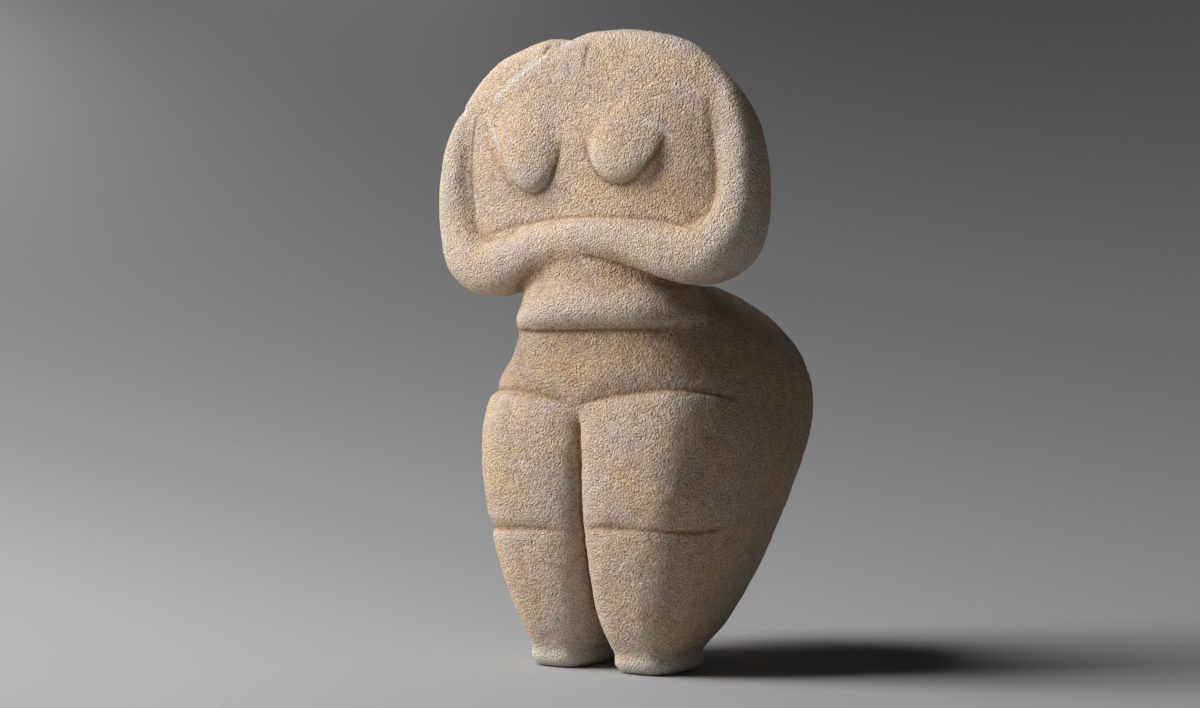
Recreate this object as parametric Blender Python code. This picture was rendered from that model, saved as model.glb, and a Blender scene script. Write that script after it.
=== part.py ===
"""Headless standing woman carved from one piece of marble, a Neolithic figurine from the Aegean islands.

The folded arms frame a flat chest with two hanging breasts. Below the waist a roll of belly overhangs
the abdomen, and heavy thighs and buttocks taper to two small feet, which carry the figure. Metres, +Z up.
The figure faces -Y, its left side is +X, and the origin is on the floor below the middle of its bounding box.
"""

import math

import bmesh
import bpy
import numpy as np
from mathutils import Vector
from mathutils.bvhtree import BVHTree

# The height drives the figure. Every other size is carved in units of a 214th of it, 1 mm at this height.
HEIGHT = 0.214
UNIT = HEIGHT / 214

# Meshing
GRAIN = 1.0  # spacing of the sculpting mesh, in units
RING_POINTS = 72
STATION_STEP = 1.5
TRIANGLES = 9400

MARBLE_COLOUR = (0.62, 0.52, 0.41, 1.0)
MARBLE_ROUGHNESS = 0.75

# Level sections of the masses. Each row is height, then the four sides of the section.
# Roundness is the power of the outline: 2 is an ellipse, more is squarer. It is given for the first side,
# then for the front and the back of the second side.
# A paired mass is given on the figure's left: inner side, outer side, front, back.
LEG_ROUNDNESS = (3.8, 2.8, 2.4)
LEG = (
    (-1.5, 7.2, 28.4, -3.4, 26.6),
    (1.5, 6.4, 29.2, -4.4, 28.2),
    (5.0, 6.2, 29.6, -5.0, 28.6),
    (7.0, 5.4, 29.0, -4.8, 29.6),
    (9.5, 4.0, 30.4, -5.8, 33.2),
    (14.0, 2.0, 33.2, -7.8, 38.4),
    (22.5, -0.6, 37.4, -10.2, 45.0),
    (36.0, -2.4, 42.4, -13.2, 54.4),
    (47.0, -4.0, 45.4, -15.0, 60.4),
    (57.0, -5.0, 47.8, -16.2, 66.2),
    (70.0, -6.0, 50.2, -16.4, 73.6),
    (80.0, -8.0, 51.0, -16.0, 78.8),
    (87.0, -9.0, 50.6, -15.0, 82.0),
    (92.0, -9.0, 50.2, -12.6, 82.2),
    (98.0, -9.0, 49.4, -8.0, 80.4),
    (104.0, -8.0, 47.6, -2.5, 77.2),
    (115.0, -3.0, 42.0, 6.0, 66.4),
    (123.0, 2.0, 33.8, 15.5, 55.0),
    (129.5, 7.0, 24.0, 26.0, 42.0),
)

# A central mass: right side, left side, front, back.
ABDOMEN_ROUNDNESS = (2.5, 2.7, 2.5)
ABDOMEN = (
    (76.0, -26.0, 26.0, 4.0, 40.0),
    (81.0, -34.0, 34.0, -5.0, 40.0),
    (86.0, -39.0, 39.0, -12.4, 40.0),
    (90.0, -41.4, 41.4, -13.8, 40.0),
    (97.0, -41.4, 42.6, -13.8, 40.0),
    (104.0, -39.4, 42.2, -13.4, 40.0),
    (112.0, -36.0, 39.4, -13.0, 38.0),
    (118.0, -33.2, 36.0, -12.5, 36.0),
    (124.0, -31.0, 32.6, -11.5, 33.0),
    (132.0, -30.0, 30.0, -10.5, 24.0),
    (140.0, -32.0, 32.0, -10.0, 16.5),
    (150.0, -34.0, 34.0, -9.0, 11.5),
)

BELLY_ROUNDNESS = (2.3, 2.6, 2.3)
BELLY = (
    (113.2, -29.0, 31.0, -10.4, 24.0),
    (114.2, -33.0, 35.6, -13.8, 27.0),
    (115.6, -33.8, 37.2, -15.7, 28.0),
    (118.2, -33.4, 37.4, -17.2, 28.5),
    (121.5, -30.8, 35.2, -17.8, 28.0),
    (125.5, -29.8, 32.6, -16.6, 26.0),
    (130.0, -30.0, 29.0, -13.8, 23.0),
    (136.0, -30.6, 26.0, -12.8, 19.0),
    (142.0, -32.0, 22.0, -12.8, 13.0),
    (147.0, -30.0, 18.0, -12.0, 10.0),
)

CHEST_ROUNDNESS = (2.2, 2.2, 2.2)
CHEST = (
    (131.0, -34.0, 34.0, -9.0, 9.5),
    (136.0, -50.0, 50.0, -10.0, 11.0),
    (145.0, -57.0, 57.0, -10.0, 11.5),
    (160.0, -58.5, 58.5, -10.2, 11.5),
    (175.0, -59.0, 59.0, -10.8, 11.0),
    (185.0, -58.0, 57.5, -11.0, 10.5),
    (195.0, -53.6, 52.4, -10.6, 9.8),
    (203.5, -45.4, 44.6, -9.6, 8.8),
    (208.8, -36.0, 35.6, -8.0, 7.4),
    (212.0, -24.5, 25.4, -6.0, 5.6),
    (214.0, -11.0, 13.5, -3.8, 3.6),
)

# Arm: centre line from the shoulder round the elbow to the middle, as x, y, z, radius and the share
# that the right arm takes of its own offset, which hangs its elbow lower and further in.
RIGHT_ARM_OFFSET = (-1.6, 0.0, -2.6)
ARM_DEPTH = 1.15  # the arm's depth over its width
ARM_ROUNDNESS = (2.8, 2.2, 2.2)  # its outer and lower side, then its inner and upper side
ARM = (
    (46.0, 0.0, 197.0, 3.2, 0.0),
    (51.4, 0.0, 188.0, 5.2, 0.0),
    (55.6, 0.0, 177.0, 6.8, 0.0),
    (57.2, 0.0, 164.0, 7.6, 0.1),
    (56.0, 0.0, 152.0, 8.6, 0.4),
    (51.4, -0.8, 142.8, 10.2, 0.9),
    (43.0, -2.0, 138.4, 10.1, 1.0),
    (30.0, -3.8, 140.2, 9.1, 0.7),
    (15.0, -5.2, 143.8, 8.0, 0.2),
    (-4.0, -5.7, 145.0, 7.6, 0.0),
)

# Breasts hang from the shoulders: x, y, z and radius down each middle line.
BREAST_DEPTH = 0.36  # how far a breast stands out over half its width
BREAST_ROUNDNESS = (2.0, 2.0, 2.0)
BREASTS = {
    1: (
        (24.0, -1.6, 203.0, 14.0),
        (21.2, -4.2, 192.0, 16.0),
        (18.8, -7.0, 181.0, 16.0),
        (17.7, -9.4, 173.5, 14.6),
        (16.9, -10.8, 168.2, 11.8),
        (16.4, -11.4, 165.0, 8.2),
        (16.2, -11.8, 163.2, 4.6),
        (16.2, -11.9, 162.2, 1.6),
    ),
    -1: (
        (28.0, -1.0, 203.0, 12.0),
        (24.8, -4.8, 191.0, 15.4),
        (22.0, -8.2, 179.5, 13.6),
        (20.4, -9.9, 171.0, 11.2),
        (19.6, -10.9, 165.8, 8.6),
        (19.2, -11.4, 162.8, 5.8),
        (19.0, -11.6, 161.2, 3.2),
        (19.0, -11.7, 160.4, 1.2),
    ),
}

# The hollow between abdomen and hip on the figure's left, smoothed over: low and high corner of its box.
HIP_HOLLOW = ((28.0, -8.0, 101.0), (46.0, 26.0, 124.0))

# The skin where abdomen and thigh meet, evened before the thigh's top is carved.
THIGH_FOLD = ((0.0, -20.0, 84.0), (50.0, 0.0, 97.0))

# The tops of the breasts, melted into the chest.
BREAST_TOPS = ((2.0, -30.0, 186.0), (44.0, -2.0, 198.0))

# Lines carved round the front of the figure's left leg, as the angle from straight ahead, outwards, and
# the height. The angles turn about the leg's middle line.
LEG_MIDDLE = (22.0, 25.0)
THIGH_TOP = ((-33.0, 88.6), (-16.0, 91.6), (0.0, 93.4), (20.0, 94.5), (40.0, 93.1), (64.0, 90.6))
KNEE = ((-26.0, 49.2), (-4.0, 49.0), (20.0, 48.4), (38.0, 48.1), (54.0, 49.2))
RIGHT_KNEE_DROP = 1.5

# Upright furrows: middle, low and high end, depth, half-width and the direction that they face.
FURROWS = (
    (0.0, 12.0, 88.0, 1.6, 2.4, (0, -1, 0)),
    (0.0, -4.0, 54.0, 2.4, 1.8, (0, -1, 0)),
    (0.0, 12.0, 124.0, 1.6, 3.0, (0, 1, 0)),
    (0.0, 142.0, 200.0, 0.8, 5.0, (0, 1, 0)),
    (-9.6, 204.0, 230.0, 2.2, 8.0, (0, 0, 1)),
)


def clear_scene():
    for thing in list(bpy.data.objects):
        bpy.data.objects.remove(thing)


def smooth_rows(rows, step):
    """Rows read from a smooth curve through the given ones, about one step apart in their first column."""
    rows = np.array(rows, float)
    along = rows[:, 0]
    slopes = np.gradient(rows, along, axis=0)
    count = max(2, round((along[-1] - along[0]) / step))
    at = np.linspace(along[0], along[-1], count + 1)
    k = np.clip(np.searchsorted(along, at, side="right") - 1, 0, len(along) - 2)
    span = (along[k + 1] - along[k])[:, None]
    t = (at - along[k])[:, None] / span
    return (
        (2 * t**3 - 3 * t**2 + 1) * rows[k]
        + (t**3 - 2 * t**2 + t) * span * slopes[k]
        + (3 * t**2 - 2 * t**3) * rows[k + 1]
        + (t**3 - t**2) * span * slopes[k + 1]
    )


def link(name, mesh):
    thing = bpy.data.objects.new(name, mesh)
    bpy.context.scene.collection.objects.link(thing)
    return thing


def outline(roundness):
    """A section's outline, from -1 to 1 across and front to back."""
    first, second_front, second_back = roundness
    angles = np.linspace(0, 2 * math.pi, RING_POINTS, endpoint=False)
    across, deep = np.cos(angles), np.sin(angles)
    power = 2 / np.where(across < 0, first, np.where(deep < 0, second_front, second_back))
    return np.sign(across) * np.abs(across) ** power, np.sign(deep) * np.abs(deep) ** power


def skinned(name, sections, side):
    """A closed mass through rings of points. side -1 mirrors it across the figure's middle."""
    mesh = bmesh.new()
    rings = []
    for places in sections:
        rings.append([mesh.verts.new((side * x * UNIT, y * UNIT, z * UNIT)) for x, y, z in places])
    for lower, upper in zip(rings, rings[1:]):
        for i in range(RING_POINTS):
            j = (i + 1) % RING_POINTS
            mesh.faces.new((lower[i], lower[j], upper[j], upper[i]))
    mesh.faces.new(rings[0])
    mesh.faces.new(rings[-1])
    bmesh.ops.recalc_face_normals(mesh, faces=mesh.faces)
    data = bpy.data.meshes.new(name)
    mesh.to_mesh(data)
    mesh.free()
    return link(name, data)


def loft(name, rows, roundness, side=1):
    """A mass through level sections."""
    across, deep = outline(roundness)
    sections = []
    for z, low_x, high_x, front, back in smooth_rows(rows, STATION_STEP):
        xs = (low_x + high_x) / 2 + (high_x - low_x) / 2 * across
        ys = (front + back) / 2 + (back - front) / 2 * deep
        sections.append(np.stack([xs, ys, np.full(RING_POINTS, z)], axis=1))
    return skinned(name, sections, side)


def swept(name, points, depth, roundness, side=1):
    """A mass of changing radius along a smooth line, stretched front to back by depth. Its sections stand
    square to the line as the front shows it."""
    across, deep = outline(roundness)
    rows = smooth_rows([(10 * i, *p) for i, p in enumerate(points)], 2.0)[:, 1:]
    steps = np.gradient(rows[:, [0, 2]], axis=0)
    sections = []
    for (x, y, z, radius), (right, up) in zip(rows, steps / np.linalg.norm(steps, axis=1)[:, None]):
        xs, zs = x + radius * up * across, z - radius * right * across
        sections.append(np.stack([xs, y + radius * depth * deep, zs], axis=1))
    return skinned(name, sections, side)


def baked(thing):
    """The object's mesh with its modifiers, size and place applied, as a plain mesh of the same name."""
    bpy.context.view_layer.update()
    graph = bpy.context.evaluated_depsgraph_get()
    mesh = bpy.data.meshes.new_from_object(thing.evaluated_get(graph))
    mesh.transform(thing.matrix_world)
    name = thing.name
    bpy.data.objects.remove(thing)
    return link(name, mesh)


def fused(name, masses, softening):
    """The masses grown together as one skin, with their creases softened by that many smoothing passes."""
    with bpy.context.temp_override(active_object=masses[0], selected_editable_objects=masses):
        bpy.ops.object.join()
    whole = masses[0]
    whole.name = name
    remesh = whole.modifiers.new("one_skin", "REMESH")
    remesh.mode = "VOXEL"
    remesh.voxel_size = GRAIN * UNIT
    smooth = whole.modifiers.new("soften", "SMOOTH")
    smooth.factor = 0.5
    smooth.iterations = softening
    return baked(whole)


def melted(thing, low, high, edge, passes):
    """The skin inside a box smoothed over, with the effect fading out over the edge width. The box is the
    figure's left side and its mirror."""
    places = points_of(thing.data, "co") / UNIT
    places[:, 0] = np.abs(places[:, 0])
    inside = np.minimum(places - low, np.array(high) - places).min(axis=1)
    group = thing.vertex_groups.new(name="melt")
    for i in np.where(inside > -edge)[0]:
        group.add([int(i)], float(rise((inside[i] + edge) / edge)), "REPLACE")
    smooth = thing.modifiers.new("melt", "SMOOTH")
    smooth.vertex_group = group.name
    smooth.factor = 0.5
    smooth.iterations = passes
    melted_thing = baked(thing)
    melted_thing.vertex_groups.clear()
    return melted_thing


def both_sides(make, name, *sizes):
    return [make(f"{name}_{word}", *sizes, side=side) for word, side in (("left", 1), ("right", -1))]


def arms():
    rows = np.array(ARM)
    left, right = rows[:, :4].copy(), rows[:, :4].copy()
    right[:, :3] += rows[:, 4:] * RIGHT_ARM_OFFSET
    return [
        swept("arm_left", left, ARM_DEPTH, ARM_ROUNDNESS),
        swept("arm_right", right, ARM_DEPTH, ARM_ROUNDNESS, -1),
    ]


def points_of(mesh, key, kind="vertices"):
    values = np.empty(len(mesh.vertices) * 3, np.float32)
    getattr(mesh, kind).foreach_get(key, values)
    return values.reshape(-1, 3).astype(float)


def rise(t):
    t = np.clip(t, 0, 1)
    return t * t * (3 - 2 * t)


def move_skin(thing, places):
    thing.data.vertices.foreach_set("co", (places * UNIT).astype(np.float32).ravel())
    thing.data.update()


def carve(thing, line, depth, above, below, side, drop=0.0):
    """Sinks a line into a leg, lowered by the drop. The skin rises again over the width above the line and
    the width below it, and the line fades out over a fifth of its length at both ends."""
    mesh = thing.data
    skin = BVHTree.FromPolygons([v.co for v in mesh.vertices], [p.vertices for p in mesh.polygons])
    middle = Vector((side * LEG_MIDDLE[0], LEG_MIDDLE[1], 0))
    hits = []
    for angle, z in smooth_rows(line, 0.5):
        outward = Vector((side * math.sin(math.radians(angle)), -math.cos(math.radians(angle)), 0))
        start = middle + 100 * outward + Vector((0, 0, z - drop))
        hits.append(skin.ray_cast(start * UNIT, -outward)[0])
    path = np.array(hits) / UNIT
    places, normals = points_of(mesh, "co") / UNIT, points_of(mesh, "vector", "vertex_normals")
    reach = max(above, below)
    low, high = path.min(axis=0) - reach, path.max(axis=0) + reach
    close = np.where(((places > low) & (places < high)).all(axis=1))[0]
    apart = places[close][:, None] - path[None]
    distance = np.linalg.norm(apart, axis=2)
    nearest = distance.argmin(axis=1)
    pick = np.arange(len(close))
    width = np.where(apart[pick, nearest, 2] > 0, above, below)
    t = nearest / (len(path) - 1)
    sink = depth * rise(t / 0.2) * rise((1 - t) / 0.2)
    sink *= np.clip(1 - distance[pick, nearest] / width, 0, 1) ** 2
    places[close] -= normals[close] * sink[:, None]
    move_skin(thing, places)


def furrow(thing, middle, low, high, depth, width, facing):
    mesh = thing.data
    places, normals = points_of(mesh, "co") / UNIT, points_of(mesh, "vector", "vertex_normals")
    ends = rise((places[:, 2] - low) / 8) * rise((high - places[:, 2]) / 8)
    turned = rise(normals @ np.array(facing, float) / 0.5)
    sink = depth * ends * turned * np.clip(1 - np.abs(places[:, 0] - middle) / width, 0, 1)
    move_skin(thing, places - sink[:, None] * facing)


def sculpt():
    masses = [
        loft("abdomen", ABDOMEN, ABDOMEN_ROUNDNESS),
        loft("chest", CHEST, CHEST_ROUNDNESS),
        *both_sides(loft, "leg", LEG, LEG_ROUNDNESS),
    ]
    body = melted(fused("body", masses, 10), *HIP_HOLLOW, 8.0, 90)
    body = melted(body, *THIGH_FOLD, 4.0, 30)
    reliefs = [body, loft("belly", BELLY, BELLY_ROUNDNESS), *arms()]
    for side, line in BREASTS.items():
        reliefs.append(swept("breast", line, BREAST_DEPTH, BREAST_ROUNDNESS, side))
    figurine = melted(fused("figurine", reliefs, 6), *BREAST_TOPS, 8.0, 60)
    for side in (1, -1):
        carve(figurine, THIGH_TOP, 2.0, 9.0, 3.0, side)
        carve(figurine, KNEE, 1.5, 5.5, 2.4, side, 0.0 if side > 0 else RIGHT_KNEE_DROP)
    for sizes in FURROWS:
        furrow(figurine, *sizes)
    return figurine


def cut_soles(thing):
    """Cuts the feet off level with the floor."""
    mesh = bmesh.new()
    mesh.from_mesh(thing.data)
    whole = mesh.verts[:] + mesh.edges[:] + mesh.faces[:]
    floor = {"plane_co": (0, 0, 0), "plane_no": (0, 0, 1)}
    cut = bmesh.ops.bisect_plane(mesh, geom=whole, clear_inner=True, **floor)
    for corner in cut["geom_cut"]:
        if isinstance(corner, bmesh.types.BMVert):
            corner.co.z = 0.0
    rims = [part for part in cut["geom_cut"] if isinstance(part, bmesh.types.BMEdge)]
    bmesh.ops.holes_fill(mesh, edges=rims)
    mesh.to_mesh(thing.data)
    mesh.free()


def stand_on_origin(thing):
    """Centres the figure over the origin."""
    places = points_of(thing.data, "co") / UNIT
    places[:, :2] -= (places[:, :2].min(axis=0) + places[:, :2].max(axis=0)) / 2
    move_skin(thing, places)


def main():
    clear_scene()
    figurine = sculpt()
    thin = figurine.modifiers.new("fewer_faces", "DECIMATE")
    triangles = sum(len(face.vertices) - 2 for face in figurine.data.polygons)
    thin.ratio = min(1.0, TRIANGLES / triangles)
    figurine = baked(figurine)
    cut_soles(figurine)
    stand_on_origin(figurine)
    marble = bpy.data.materials.new("marble")
    marble.use_nodes = True
    shader = marble.node_tree.nodes["Principled BSDF"]
    shader.inputs["Base Color"].default_value = MARBLE_COLOUR
    shader.inputs["Roughness"].default_value = MARBLE_ROUGHNESS
    figurine.data.materials.append(marble)
    figurine.data.shade_smooth()


main()
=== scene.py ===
"""Looks for the marble figurine: weathered, grainy stone on a pale studio sweep under one soft light.

The sculpting works in millimetres, with the soles at z = 0 and the middle of the torso at x = 0 and y = 0.
Blender's own coordinates are metres, in the frame of the solids.
"""
import math

import bmesh
import bpy
import numpy as np
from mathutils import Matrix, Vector, noise
from mathutils.bvhtree import BVHTree


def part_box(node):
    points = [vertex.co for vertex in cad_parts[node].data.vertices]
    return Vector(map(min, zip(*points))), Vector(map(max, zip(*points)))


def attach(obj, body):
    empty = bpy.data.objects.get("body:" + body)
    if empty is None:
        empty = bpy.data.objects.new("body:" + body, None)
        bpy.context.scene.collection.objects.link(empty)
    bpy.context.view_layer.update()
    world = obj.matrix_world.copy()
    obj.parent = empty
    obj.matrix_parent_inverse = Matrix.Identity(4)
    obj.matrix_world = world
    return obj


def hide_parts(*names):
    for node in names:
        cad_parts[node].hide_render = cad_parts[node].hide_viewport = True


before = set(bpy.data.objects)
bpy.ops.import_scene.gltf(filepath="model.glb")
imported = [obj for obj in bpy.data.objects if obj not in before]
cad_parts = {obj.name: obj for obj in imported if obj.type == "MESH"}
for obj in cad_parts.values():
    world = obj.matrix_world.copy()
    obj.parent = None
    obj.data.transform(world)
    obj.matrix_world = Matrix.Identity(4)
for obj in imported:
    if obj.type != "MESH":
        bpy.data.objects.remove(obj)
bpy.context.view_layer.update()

MM = 0.001
TORSO = np.array((0.0, -32.4, 0.0))  # where the torso's middle stands in the solids' frame, in mm

# Camera, level: its place in metres from the torso's middle, and its focal length in the photo's pixels
AZIMUTH = math.radians(35)
CAMERA_DISTANCE = 0.760
CAMERA_HEIGHT = 0.106
CAMERA_OFFSET = 0.0006
FOCAL_PIXELS = 2266.3
FRAME_PIXELS = 1200
SENSOR = 36

# Studio, in metres
PAPER_TONE = 0.37
PAPER_MOTTLE = 0.008
FLAT_FLOOR = 0.2
SWEEP_RADIUS = 3.0
SWEEP_TURN = math.radians(52)
SPOKES = 96
RINGS_FLAT, RINGS_CURVED = 4, 30
AIR_COLOUR = (1.0, 0.93, 0.86, 1)
AIR_STRENGTH = 0.0015

RIGHT = Vector((math.cos(AZIMUTH), math.sin(AZIMUTH), 0))
BACK = Vector((math.sin(AZIMUTH), -math.cos(AZIMUTH), 0))  # from the figure to the camera
UP = Vector((0, 0, 1))
FLOOR_MIDDLE = Vector(TORSO) * MM
HALF_HEIGHT = 0.107
FIGURE_MIDDLE = FLOOR_MIDDLE + UP * HALF_HEIGHT

# Sculpting mesh: the size of its grid, its smoothing, and how far from a crease the grid is halved
GRAIN = 1.07
FACET_PASSES = 6
CREASE_ZONE = 2.4

# The near leg's outer front corner is worn rounder. Each pair says where the wear sets in along x, y or z
# and how far on it is full.
CORNER_PASSES = 50
CORNER_ACROSS = (20, 8)
CORNER_DEEP = (26, -12)
CORNER_ABOVE_FOOT = (10, 10)
CORNER_BELOW_BELLY = (96, -8)

# Lines are laid on the skin by rays that start this far out, at points this far apart
OUTSIDE = 200.0
LINE_STEP = 0.4
LEG_LINE_STEP = 0.5  # degrees and millimetres together

# Creases round the legs, as angles from straight ahead, outwards, about each leg's middle line, and
# heights. A cut is the crease's depth and its widths above and below.
LEG_MIDDLE = (22.0, 25.0)
THIGH_TOP = ((-33, 88.6), (-16, 91.6), (0, 93.4), (20, 94.5), (40, 93.1), (64, 90.6))
THIGH_TOP_CUT = (0.7, 2.6, 1.0)
KNEE = ((-26, 49.2), (-4, 49.0), (20, 48.4), (38, 48.1), (54, 49.2))
KNEE_CUT = (0.6, 2.4, 1.0)
RIGHT_KNEE_DROP = 1.5

# Creases seen from the front, as x and height
BELLY_LIP = ((-32.5, 114.4), (-24, 113.8), (-8, 113.5), (12, 113.5), (26, 113.7), (36.5, 114.2))
OVER_FOREARMS = ((-46, 145.4), (-38, 147.6), (-24, 150.2), (-6, 151.6), (14, 151.2), (34, 149), (47, 145))
UNDER_NEAR_FOREARM = ((1, 139.2), (14, 136), (28, 131.6), (37, 129))
NEAR_ARM = ((46.6, 190), (48.8, 178), (49.6, 164), (48, 152), (45.4, 145.8))
FAR_ARM = ((-46.2, 189), (-48.6, 177), (-49.2, 164), (-46.8, 150), (-44.8, 145.6))
UNDER_NEAR_BREAST = (
    (2.2, 178), (3.2, 172.4), (5.6, 167.4), (10, 163), (16.2, 161.2), (23, 163.2), (28.2, 167.6),
    (31.8, 172.6), (33.4, 178),
)
UNDER_FAR_BREAST = (
    (-34.6, 179), (-31.4, 171), (-28, 165.4), (-24, 161.4), (-19, 159.4), (-14.4, 161.4), (-11, 165.6),
    (-8.8, 171.5), (-8, 179),
)
CLEFT = ((0.2, 88.4), (0.4, 70), (0.2, 50), (-0.2, 30), (-0.6, 16))
LONG_NECK_CRACK = ((1.9, 209.6), (1.2, 205), (0.8, 200.4))
SHORT_NECK_CRACK = ((-15.6, 210), (-17.2, 206.6))
FRONT_CREASES = {
    "belly_lip": (BELLY_LIP, (0.9, 1.0, 2.4)),
    "over_forearms": (OVER_FOREARMS, (0.5, 2.4, 1.2)),
    "under_near_forearm": (UNDER_NEAR_FOREARM, (0.6, 1.2, 2.4)),
    "near_arm": (NEAR_ARM, (0.55, 2.4, 2.4)),
    "far_arm": (FAR_ARM, (0.3, 2.0, 2.0)),
    "under_near_breast": (UNDER_NEAR_BREAST, (0.6, 1.4, 2.2)),
    "under_far_breast": (UNDER_FAR_BREAST, (0.5, 1.4, 2.2)),
    "cleft": (CLEFT, (1.2, 2.0, 2.0)),
    "long_neck_crack": (LONG_NECK_CRACK, (0.7, 1.3, 1.3)),
    "short_neck_crack": (SHORT_NECK_CRACK, (0.7, 1.3, 1.3)),
}

# Chips: middle, radius and depth. The last one is an old pit with no pale break.
CHIPS = (
    ((-54.4, -4.0, 190.0), 2.6, 1.2),
    ((-11.0, -5.0, 211.0), 3.4, 0.7),
    ((61.0, 3.0, 156.0), 2.0, 0.3),
    ((-3.0, -9.0, 18.4), 1.1, 0.5),
)
PALE_CHIPS = 3
CHIP_RAGGEDNESS = 0.25
CHIP_WAVES = np.array((7, 0, 5))
CHIP_STEEPNESS = 1.6
CHIP_HALO = 1.3  # the pale break reaches this many radii out

# Feet: a shallow neck above a rim, each as height, half its width and depth, and the rounding of the soles
FOOT_MIDDLE = (17.7, 11.7)
FOOT_TOP = 19.2
FOOT_NECK = (6.4, 1.6, 0.35)
FOOT_RIM = (3.2, 1.4, -0.3)
SOLE_ROUNDING = 2.6
SOLE_HEART = 6.0  # the rounding fades out this near to the foot's middle

# Lumps, dimples and grain of the weathered skin: height, size and octaves
WEATHERING = ((0.30, 17, 3), (0.15, 5.5, 2), (0.10, 2.0, 2))
FLAT_SOLE = 2.0  # the weathering sets in over this height, so that the soles stay flat

# Soil lies in hollows, partly as painted shade, and wear on what stands out: from what depth, over how
# much more, and how strongly.
# A hollow is found by averaging the skin over these many passes and blurring the result.
HOLLOW_PASSES, HOLLOW_BLUR = 14, 2
SOIL_AND_SHADE = (0.03, 0.3, 0.8)
WEAR = (0.09, 0.2, 0.35)
CREASE_SOIL_AND_SHADE = 0.9
CREASE_SOIL_AND_SHADE_WIDTH = 1.3
CRACK_SOIL_AND_SHADE_WIDTH = 1.5
# The feet grow paler towards the soles: worn stone on their fronts, and painted bounce light from the
# floor.
FOOT_WEAR_AND_LIGHT_HEIGHT = 12.0
FOOT_WEAR_AND_LIGHT = 0.85

# Worn edges and scratches, pale, as x and height seen from the front, with their width
WORN = (
    (((-15, 206.5), (-26, 201), (-37, 193)), 2.2),
    (((-41, 188), (-37.5, 181), (-33, 174.6)), 1.5),
    (((25, 182.8), (30.5, 180), (35, 176)), 1.3),
    (((36, 208), (43, 204.5), (50, 198.5)), 2.4),
)

# Brown patina up the front, as height and strength, and in patches, as middle, radius and strength. Part
# of it is painted shade: the band under the belly lip paints the belly's shadow, and the big patch on the
# near buttock paints its deep shade.
PATINA_AND_SHADE = (
    (0, 0.0), (45, 0.0), (60, 0.1), (84, 0.15), (93, 0.75), (112, 0.95), (116, 0.5), (130, 0.35),
    (138, 0.0),
)
PATINA_AND_SHADE_DEEP = (18, -20)  # where along y it is gone, and how far in front of that it is full
PATINA_AND_SHADE_PATCHES = (
    ((44, -8, 178), 16, 1.2),
    ((46, -8, 160), 16, 1.2),
    ((36, -10, 158), 13, 0.6),
    ((58, -2, 184), 14, 0.8),
    ((18, -14, 172), 15, 0.35),
    ((14, -12, 134), 17, 0.9),
    # This big patch on the near buttock is painted shade on the side turned from the key light.
    ((42, 44, 96), 55, 1.4),
)

# Colours of the stone, and what multiplies them in the mottle, the pits and the patina; the pit and patina
# tints are partly painted shade
PINK_STONE = (0.575, 0.47, 0.395)
CREAM_STONE = (0.68, 0.495, 0.325)
MAUVE_STONE = (0.585, 0.45, 0.385)
OCHRE_STONE = (0.62, 0.46, 0.265)
DARK_MOTTLE = (0.86, 0.82, 0.77)
PALE_MOTTLE = (1.10, 1.12, 1.15)
# Pits darker and grain tops paler: brown soil in the pits, with painted shade in them and painted light on
# the tops.
PIT_SOIL_AND_SHADE_TINT = (0.62, 0.52, 0.42)
PATINA_AND_SHADE_TINT = (0.74, 0.67, 0.57)
# Soil's brown, which also paints shade along the creases and in the hollows.
SOIL_AND_SHADE_BROWN = (0.255, 0.145, 0.07)
SPECK_BROWN = (0.33, 0.19, 0.09)
# Worn stone's pale, which on the feet also paints bounce light from the floor.
WORN_AND_LIT_STONE = (0.72, 0.66, 0.58)


# Mesh helpers
def values_of(mesh, key="co", kind="vertices"):
    values = np.empty(len(mesh.vertices) * 3, np.float32)
    getattr(mesh, kind).foreach_get(key, values)
    return values.reshape(-1, 3).astype(float)


def places_of(thing):
    return values_of(thing.data) / MM - TORSO


def normals_of(thing):
    return values_of(thing.data, "vector", "vertex_normals")


def edges_of(thing):
    pairs = np.empty(len(thing.data.edges) * 2, np.int32)
    thing.data.edges.foreach_get("vertices", pairs)
    return pairs.reshape(-1, 2).T


def move_skin(thing, places):
    thing.data.vertices.foreach_set("co", ((places + TORSO) * MM).astype(np.float32).ravel())
    thing.data.update()


def rise(t):
    """0 up to t = 0, 1 from t = 1 and a smooth step between them."""
    t = np.clip(t, 0, 1)
    return t * t * (3 - 2 * t)


def sets_in(values, start, stretch):
    """0 at the start and 1 a stretch further, which is backwards where it is negative."""
    return rise((values - start) / stretch)


def field(places, size, octaves, seed):
    """Smooth noise, mostly between -1 and 1, with bumps of about the given size."""
    shift = Vector((17.3, 5.1, 9.7)) * seed
    return np.array([noise.fractal(Vector(place) + shift, 1.0, 2.0, octaves) for place in places / size])


def curve_through(points, step):
    """Points about one step apart on a smooth curve through the given ones."""
    points = np.array(points, float)
    along = np.concatenate([[0], np.cumsum(np.linalg.norm(np.diff(points, axis=0), axis=1))])
    slopes = np.gradient(points, along, axis=0)
    at = np.linspace(0, along[-1], max(3, round(along[-1] / step)))
    k = np.clip(np.searchsorted(along, at, side="right") - 1, 0, len(along) - 2)
    span = (along[k + 1] - along[k])[:, None]
    t = (at - along[k])[:, None] / span
    return (
        (2 * t**3 - 3 * t**2 + 1) * points[k]
        + (t**3 - 2 * t**2 + t) * span * slopes[k]
        + (3 * t**2 - 2 * t**3) * points[k + 1]
        + (t**3 - t**2) * span * slopes[k + 1]
    )


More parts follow.
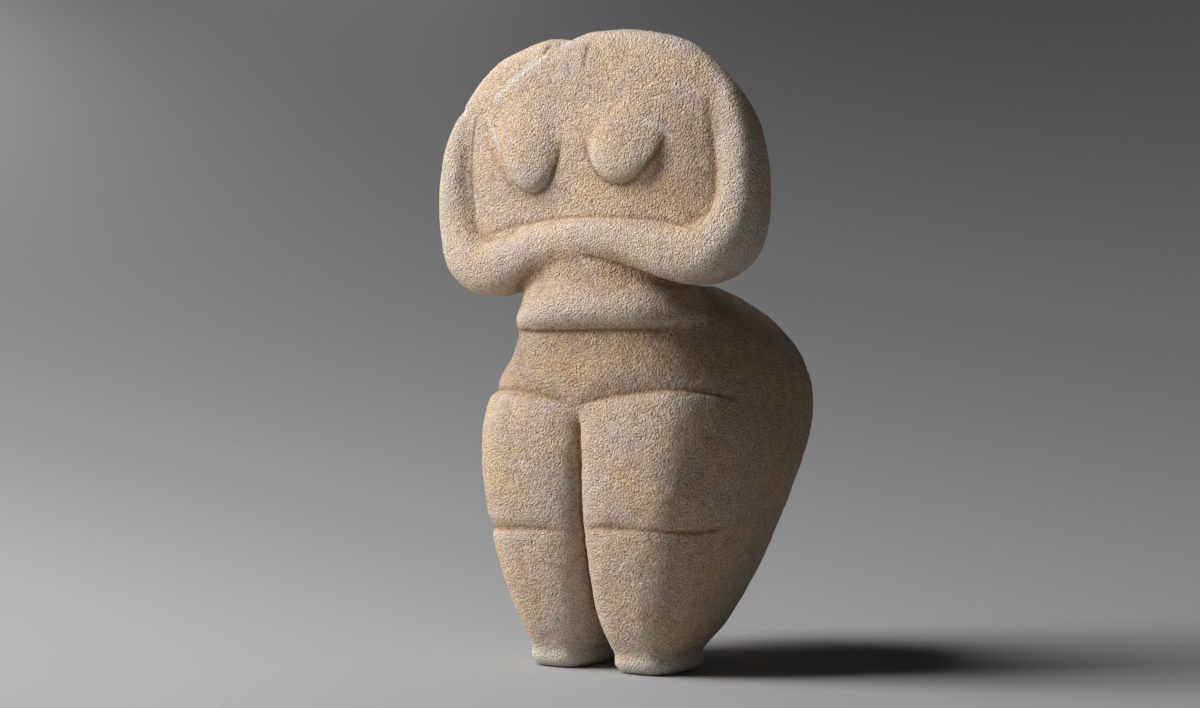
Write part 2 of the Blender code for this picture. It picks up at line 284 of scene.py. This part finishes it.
class Skin:
    """Finds places on the figure's surface."""

    def __init__(self, thing):
        faces = [face.vertices for face in thing.data.polygons]
        self.tree = BVHTree.FromPolygons(places_of(thing).tolist(), faces)

    def hits(self, rays):
        found = [self.tree.ray_cast(Vector(start), Vector(direction))[0] for start, direction in rays]
        return np.array([place for place in found if place])

    def from_front(self, line):
        """The places behind a line of x and height."""
        return self.hits([((x, -OUTSIDE, z), (0, 1, 0)) for x, z in curve_through(line, LINE_STEP)])

    def round_leg(self, line, side, drop=0.0):
        """The places on a line of angles and heights round the leg on one side."""
        rays = []
        for angle, z in curve_through(line, LEG_LINE_STEP):
            outward = np.array((side * math.sin(math.radians(angle)), -math.cos(math.radians(angle)), 0))
            middle = np.array((side * LEG_MIDDLE[0], LEG_MIDDLE[1], z - drop))
            rays.append((middle + OUTSIDE * outward, -outward))
        return self.hits(rays)


def to_path(places, path, reach):
    """For places within reach of a path: their indices, distances, offsets and shares of its length."""
    low, high = path.min(axis=0) - reach, path.max(axis=0) + reach
    close = np.where(((places > low) & (places < high)).all(axis=1))[0]
    apart = places[close][:, None] - path[None]
    distance = np.linalg.norm(apart, axis=2)
    nearest = distance.argmin(axis=1)
    pick = np.arange(len(close))
    return close, distance[pick, nearest], apart[pick, nearest], nearest / (len(path) - 1)


def near_path(places, path, width, fade=0.1):
    """1 on the path, falling to 0 at the width from it and towards its ends."""
    mark = np.zeros(len(places))
    close, distance, _, t = to_path(places, path, width)
    mark[close] = rise(1 - distance / width) * rise(t / fade + 0.2) * rise((1 - t) / fade + 0.2)
    return mark


def evened(values, edges, passes):
    """Rows of values averaged with their neighbours' along the edges."""
    a, b = edges
    count = len(values)
    share = np.bincount(a, minlength=count) + np.bincount(b, minlength=count) + 1
    for _ in range(passes):
        sums = [v + np.bincount(a, v[b], count) + np.bincount(b, v[a], count) for v in values.T]
        values = np.stack(sums, axis=1) / share[:, None]
    return values


# The figure
def sculpting_mesh():
    """The solid's own form as an even mesh, with its facets smoothed."""
    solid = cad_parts["figurine"]
    thing = bpy.data.objects.new("marble_woman", solid.data.copy())
    bpy.context.scene.collection.objects.link(thing)
    thing.data.materials.clear()
    remesh = thing.modifiers.new("even_grid", "REMESH")
    remesh.mode = "VOXEL"
    remesh.voxel_size = GRAIN * MM
    smooth = thing.modifiers.new("no_facets", "SMOOTH")
    smooth.factor = 0.5
    smooth.iterations = FACET_PASSES
    bpy.context.view_layer.update()
    mesh = bpy.data.meshes.new_from_object(thing.evaluated_get(bpy.context.evaluated_depsgraph_get()))
    thing.modifiers.clear()
    thing.data = mesh
    return thing


def soften(thing):
    """Wears the outer front corner of the near leg rounder."""
    places = places_of(thing)
    x, y, z = places.T
    share = sets_in(x, *CORNER_ACROSS) * sets_in(y, *CORNER_DEEP)
    share *= sets_in(z, *CORNER_ABOVE_FOOT) * sets_in(z, *CORNER_BELOW_BELLY)
    rounder = evened(places, edges_of(thing), CORNER_PASSES)
    move_skin(thing, places + (rounder - places) * share[:, None])


def crease_paths(skin):
    """Every crease: its path and its cut."""
    creases = {}
    for side, word, drop in ((1, "left", 0.0), (-1, "right", RIGHT_KNEE_DROP)):
        creases["thigh_top_" + word] = (skin.round_leg(THIGH_TOP, side), THIGH_TOP_CUT)
        creases["knee_" + word] = (skin.round_leg(KNEE, side, drop), KNEE_CUT)
    for name, (line, cut) in FRONT_CREASES.items():
        creases[name] = (skin.from_front(line), cut)
    return creases


def refine(thing, paths):
    """Halves the grid along the creases, so that they can be cut crisply."""
    places = places_of(thing)
    close = np.zeros(len(places), bool)
    for path in paths:
        indices, distance, _, _ = to_path(places, path, CREASE_ZONE)
        close[indices[distance < CREASE_ZONE]] = True
    mesh = bmesh.new()
    mesh.from_mesh(thing.data)
    edges = [edge for edge in mesh.edges if close[edge.verts[0].index] and close[edge.verts[1].index]]
    bmesh.ops.subdivide_edges(mesh, edges=edges, cuts=1, use_grid_fill=True)
    bmesh.ops.triangulate(mesh, faces=[face for face in mesh.faces if len(face.verts) > 4])
    mesh.to_mesh(thing.data)
    mesh.free()


def carve(thing, path, cut, fade=0.15):
    """Sinks a crease along the path. The skin rises again over the widths above and below it."""
    depth, above, below = cut
    places, normals = places_of(thing), normals_of(thing)
    close, distance, apart, t = to_path(places, path, max(above, below))
    width = np.where(apart[:, 2] > 0, above, below)
    sink = depth * rise(t / fade) * rise((1 - t) / fade) * np.clip(1 - distance / width, 0, 1) ** 2
    places[close] -= normals[close] * sink[:, None]
    move_skin(thing, places)


def band(z, height, half_width, depth):
    return depth * np.exp(-(((z - height) / half_width) ** 2))


def shape_feet(thing):
    """A shallow neck above each foot's rim, and a rounded edge round each sole."""
    places = places_of(thing)
    low = places[:, 2] < FOOT_TOP
    x, y, z = places[low].T
    out_x, out_y = x - np.sign(x) * FOOT_MIDDLE[0], y - FOOT_MIDDLE[1]
    reach = np.hypot(out_x, out_y) + 1e-6
    turn = np.clip((SOLE_ROUNDING - z) / SOLE_ROUNDING, 0, 1)
    inset = band(z, *FOOT_NECK) + band(z, *FOOT_RIM)
    inset += SOLE_ROUNDING * (1 - np.sqrt(1 - turn**2)) * np.clip(reach / SOLE_HEART, 0, 1)
    places[low, 0] -= inset * out_x / reach
    places[low, 1] -= inset * out_y / reach
    move_skin(thing, places)


def chip(thing):
    places, normals = places_of(thing), normals_of(thing)
    for middle, radius, depth in CHIPS:
        distance = np.linalg.norm(places - middle, axis=1)
        ragged = radius * (1 + CHIP_RAGGEDNESS * np.sin(places @ CHIP_WAVES))
        places -= normals * (depth * rise(CHIP_STEEPNESS * (1 - distance / ragged)))[:, None]
    move_skin(thing, places)


def attribute(thing, name, values):
    layer = thing.data.attributes.new(name, "FLOAT", "POINT")
    layer.data.foreach_set("value", np.clip(values, 0, 1).astype(np.float32))


def mark_stone(thing, creases):
    """Writes where soil and painted crease shade, wear and painted foot light, and patina and painted
    shade lie, for the material.
    """
    places, normals, edges = places_of(thing), normals_of(thing), edges_of(thing)
    hollow = ((evened(places, edges, HOLLOW_PASSES) - places) * normals).sum(axis=1)
    hollow = evened(hollow[:, None], edges, HOLLOW_BLUR)[:, 0]

    start, stretch, strength = SOIL_AND_SHADE
    soil_and_shade = strength * sets_in(hollow, start, stretch)
    # Along the creases the soil is partly painted shade.
    for name, (path, _) in creases.items():
        width = CRACK_SOIL_AND_SHADE_WIDTH if "crack" in name else CREASE_SOIL_AND_SHADE_WIDTH
        soil_and_shade = np.maximum(soil_and_shade, CREASE_SOIL_AND_SHADE * near_path(places, path, width))
    attribute(thing, "soil_and_shade", soil_and_shade)

    start, stretch, strength = WEAR
    wear_and_light = strength * sets_in(-hollow, start, stretch)
    # Pale feet: real wear, and painted bounce light from the floor.
    wear_and_light = np.maximum(wear_and_light, FOOT_WEAR_AND_LIGHT * rise(1 - places[:, 2] / FOOT_WEAR_AND_LIGHT_HEIGHT))
    skin = Skin(thing)
    for line, width in WORN:
        wear_and_light = np.maximum(wear_and_light, near_path(places, skin.from_front(line), width))
    for middle, radius, _ in CHIPS[:PALE_CHIPS]:
        distance = np.linalg.norm(places - middle, axis=1)
        wear_and_light = np.maximum(wear_and_light, rise(CHIP_HALO - distance / radius))
    attribute(thing, "wear_and_light", wear_and_light)

    # Patina, partly painted shade: the band under the belly lip and the patch on the near buttock.
    heights, strengths = np.array(PATINA_AND_SHADE).T
    patina_and_shade = np.interp(places[:, 2], heights, strengths) * sets_in(places[:, 1], *PATINA_AND_SHADE_DEEP)
    for middle, radius, strength in PATINA_AND_SHADE_PATCHES:
        distance = np.linalg.norm(places - middle, axis=1)
        patina_and_shade += strength * rise(1 - distance / radius)
    attribute(thing, "patina_and_shade", patina_and_shade)


def weather(thing):
    places, normals = places_of(thing), normals_of(thing)
    height = np.zeros(len(places))
    for seed, (depth, size, octaves) in enumerate(WEATHERING, 1):
        height += depth * field(places, size, octaves, seed)
    height *= rise(places[:, 2] / FLAT_SOLE)
    move_skin(thing, places + normals * height[:, None])


def keep_inside(thing):
    """Keeps the stone inside the solid's box."""
    low, high = (np.array(corner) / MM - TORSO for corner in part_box("figurine"))
    move_skin(thing, np.clip(places_of(thing), low, high))


def figure():
    woman = sculpting_mesh()
    soften(woman)
    creases = crease_paths(Skin(woman))
    refine(woman, [path for path, _ in creases.values()])
    for path, cut in creases.values():
        carve(woman, path, cut)
    shape_feet(woman)
    chip(woman)
    mark_stone(woman, creases)
    weather(woman)
    keep_inside(woman)
    woman.data.shade_smooth()
    woman.data.materials.append(marble())
    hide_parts("figurine")
    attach(woman, "root")


# Materials
class Shading:
    """Shorthand for building a material's nodes. Places are read in metres from the object's own space."""

    def __init__(self, name):
        self.material = bpy.data.materials.new(name)
        self.material.use_nodes = True
        self.tree = self.material.node_tree
        self.shader = self.tree.nodes["Principled BSDF"]
        self.place = self.tree.nodes.new("ShaderNodeTexCoord").outputs["Object"]

    def join(self, value, socket):
        """Links another node's output to the socket, or sets the socket to a number or a colour."""
        if isinstance(value, bpy.types.NodeSocket):
            self.tree.links.new(value, socket)
        elif isinstance(value, tuple):
            socket.default_value = (*value, 1.0)
        else:
            socket.default_value = value

    def noise(self, size, detail=3.0, roughness=0.5):
        """Noise with features of about the given size in mm."""
        node = self.tree.nodes.new("ShaderNodeTexNoise")
        node.inputs["Scale"].default_value = 1 / (size * MM)
        node.inputs["Detail"].default_value = detail
        node.inputs["Roughness"].default_value = roughness
        self.join(self.place, node.inputs["Vector"])
        return node.outputs["Fac"]

    def cells(self, size):
        """Distance from the middles of cells of about the given size in mm."""
        node = self.tree.nodes.new("ShaderNodeTexVoronoi")
        node.inputs["Scale"].default_value = 1 / (size * MM)
        self.join(self.place, node.inputs["Vector"])
        return node.outputs["Distance"]

    def read(self, name):
        node = self.tree.nodes.new("ShaderNodeAttribute")
        node.attribute_name = name
        return node.outputs["Fac"]

    def ramp(self, value, *stops):
        """A colour ramp. Each stop is a place and a grey or a colour."""
        node = self.tree.nodes.new("ShaderNodeValToRGB")
        while len(node.color_ramp.elements) < len(stops):
            node.color_ramp.elements.new(0.5)
        for element, (at, colour) in zip(node.color_ramp.elements, stops):
            element.position = at
            element.color = (*colour, 1.0) if isinstance(colour, tuple) else (colour, colour, colour, 1.0)
        self.join(value, node.inputs["Fac"])
        return node.outputs["Color"]

    def mix(self, how, share, first, second):
        node = self.tree.nodes.new("ShaderNodeMix")
        node.data_type = "RGBA"
        node.blend_type = how
        for value, socket in ((share, 0), (first, 6), (second, 7)):
            self.join(value, node.inputs[socket])
        return node.outputs[2]

    def math(self, how, first, second):
        node = self.tree.nodes.new("ShaderNodeMath")
        node.operation = how
        self.join(first, node.inputs[0])
        self.join(second, node.inputs[1])
        return node.outputs[0]

    def bump(self, height, distance):
        """Small relief, in mm, of the height given."""
        node = self.tree.nodes.new("ShaderNodeBump")
        node.inputs["Distance"].default_value = distance * MM
        self.join(height, node.inputs["Height"])
        self.join(node.outputs["Normal"], self.shader.inputs["Normal"])


def marble():
    """Old marble: a sugary grain with painted shade in its pits, ochre and mauve-grey clouds, soil and
    painted shade in the hollows and creases, patina that is partly painted shade, and pale worn edges with
    painted light on the feet.
    """
    stone = Shading("marble")
    shader = stone.shader
    shader.inputs["Specular IOR Level"].default_value = 0.35

    grain = stone.noise(0.62, 1.0)
    crystals = stone.cells(0.8)
    fine = stone.noise(0.36, 1.0)

    colour = stone.ramp(stone.noise(24, 3.0, 0.55), (0.36, PINK_STONE), (0.64, CREAM_STONE))
    mauve = stone.ramp(stone.noise(10, 4.0, 0.6), (0.46, 0.0), (0.66, 0.85))
    colour = stone.mix("MIX", mauve, colour, MAUVE_STONE)
    ochre = stone.ramp(stone.noise(7.5, 4.0, 0.65), (0.52, 0.0), (0.70, 0.7))
    colour = stone.mix("MIX", ochre, colour, OCHRE_STONE)
    mottle = stone.ramp(stone.noise(2.6, 3.0, 0.6), (0.3, DARK_MOTTLE), (0.7, PALE_MOTTLE))
    colour = stone.mix("MULTIPLY", 1.0, colour, mottle)
    # Darker pits and paler grain tops: partly soil, partly painted shade in the pits and painted light on
    # the tops.
    pit_soil_and_grain_shading = stone.ramp(grain, (0.30, PIT_SOIL_AND_SHADE_TINT), (0.47, 1.0), (0.66, 1.16))
    colour = stone.mix("MULTIPLY", 0.85, colour, pit_soil_and_grain_shading)

    uneven = stone.ramp(stone.noise(5, 4.0, 0.6), (0.3, 0.5), (0.65, 1.0))
    # Patina, partly painted shade under the belly and on the near buttock.
    patina_and_shade = stone.math("MULTIPLY", stone.read("patina_and_shade"), uneven)
    colour = stone.mix("MULTIPLY", patina_and_shade, colour, PATINA_AND_SHADE_TINT)
    ragged = stone.ramp(stone.noise(1.8, 3.0, 0.6), (0.3, 0.55), (0.7, 1.2))
    # Soil in the hollows and creases, partly painted shade.
    soil_and_shade = stone.math("MULTIPLY", stone.read("soil_and_shade"), ragged)
    colour = stone.mix("MIX", soil_and_shade, colour, SOIL_AND_SHADE_BROWN)
    specks = stone.ramp(stone.noise(1.5, 1.0), (0.72, 0.0), (0.76, 0.7))
    colour = stone.mix("MIX", specks, colour, SPECK_BROWN)
    # Wear, with painted bounce light from the floor on the feet.
    wear_and_light = stone.math("MULTIPLY", stone.read("wear_and_light"), ragged)
    colour = stone.mix("MIX", wear_and_light, colour, WORN_AND_LIT_STONE)
    stone.join(colour, shader.inputs["Base Color"])

    stone.join(stone.ramp(grain, (0.3, 0.82), (0.7, 0.56)), shader.inputs["Roughness"])

    height = stone.math("ADD", stone.math("MULTIPLY", grain, 0.7), stone.math("MULTIPLY", fine, 0.6))
    height = stone.math("ADD", height, stone.math("MULTIPLY", crystals, -0.55))
    stone.bump(height, 1.0)
    return stone.material


def paper():
    sheet = Shading("studio_paper")
    sheet.shader.inputs["Roughness"].default_value = 0.8
    sheet.shader.inputs["Specular IOR Level"].default_value = 0.2
    mottle = sheet.noise(5)
    tone = sheet.ramp(mottle, (0.3, PAPER_TONE - PAPER_MOTTLE), (0.7, PAPER_TONE + PAPER_MOTTLE))
    sheet.join(tone, sheet.shader.inputs["Base Color"])
    return sheet.material


# Studio
def sweep():
    """A round pale floor that curves up all round, so that every side has the same plain ground."""
    profile = [(FLAT_FLOOR * (ring + 1) / (RINGS_FLAT + 1), 0.0) for ring in range(RINGS_FLAT)]
    for turn in np.linspace(0, SWEEP_TURN, RINGS_CURVED):
        profile.append((FLAT_FLOOR + SWEEP_RADIUS * math.sin(turn), SWEEP_RADIUS * (1 - math.cos(turn))))
    around = np.linspace(0, 2 * math.pi, SPOKES, endpoint=False)
    points = [(0, 0, 0)] + [(r * math.cos(a), r * math.sin(a), z) for r, z in profile for a in around]
    faces = [(0, 1 + i, 1 + (i + 1) % SPOKES) for i in range(SPOKES)]
    for ring in range(len(profile) - 1):
        inner, outer = 1 + ring * SPOKES, 1 + (ring + 1) * SPOKES
        for i in range(SPOKES):
            j = (i + 1) % SPOKES
            faces.append((inner + i, outer + i, outer + j, inner + j))
    mesh = bpy.data.meshes.new("studio_floor")
    mesh.from_pydata(points, [], faces)
    mesh.shade_smooth()
    mesh.materials.append(paper())
    floor = bpy.data.objects.new("studio_floor", mesh)
    bpy.context.scene.collection.objects.link(floor)


def from_camera(side, forward, height):
    """A place beside, in front of and above the figure's middle as the camera sees them, in metres."""
    return FIGURE_MIDDLE + RIGHT * side + BACK * forward + UP * height


def softbox(name, place, size, power, aim=(0, 0, 0), spread=180):
    """A light of a width and height, turned to its aim, which is the figure's middle if none is given."""
    data = bpy.data.lights.new(name, "AREA")
    data.shape = "RECTANGLE"
    data.size, data.size_y = size
    data.energy = power
    data.spread = math.radians(spread)
    light = bpy.data.objects.new(name, data)
    bpy.context.scene.collection.objects.link(light)
    light.location = from_camera(*place)
    light.rotation_mode = "QUATERNION"
    light.rotation_quaternion = (light.location - from_camera(*aim)).to_track_quat("Z", "Y")
    light.visible_camera = False


def lights():
    softbox("key_light", (-0.86, 0.06, 0.70), (0.50, 1.2), 23.5)
    softbox("wall_light", (-1.2, -1.4, 0.75), (0.6, 0.6), 4.4, aim=(-1.0, -1.5, 0.0), spread=120)
    softbox("middle_wall_light", (-0.3, -1.9, 0.9), (0.3, 0.3), 0.3, aim=(-0.3, -2.0, 0.0), spread=120)
    air = bpy.data.worlds.new("studio_air")
    air.use_nodes = True
    air.node_tree.nodes["Background"].inputs["Color"].default_value = AIR_COLOUR
    air.node_tree.nodes["Background"].inputs["Strength"].default_value = AIR_STRENGTH
    bpy.context.scene.world = air


def look():
    lens = bpy.data.cameras.new("camera")
    lens.sensor_width = SENSOR
    lens.lens = SENSOR * FOCAL_PIXELS / FRAME_PIXELS
    camera = bpy.data.objects.new("camera", lens)
    bpy.context.scene.collection.objects.link(camera)
    camera.location = FLOOR_MIDDLE + UP * CAMERA_HEIGHT + BACK * CAMERA_DISTANCE + RIGHT * CAMERA_OFFSET
    camera.rotation_euler = (math.pi / 2, 0, AZIMUTH)
    bpy.context.scene.camera = camera
    bpy.context.scene.view_settings.view_transform = "Standard"


figure()
sweep()
lights()
look()
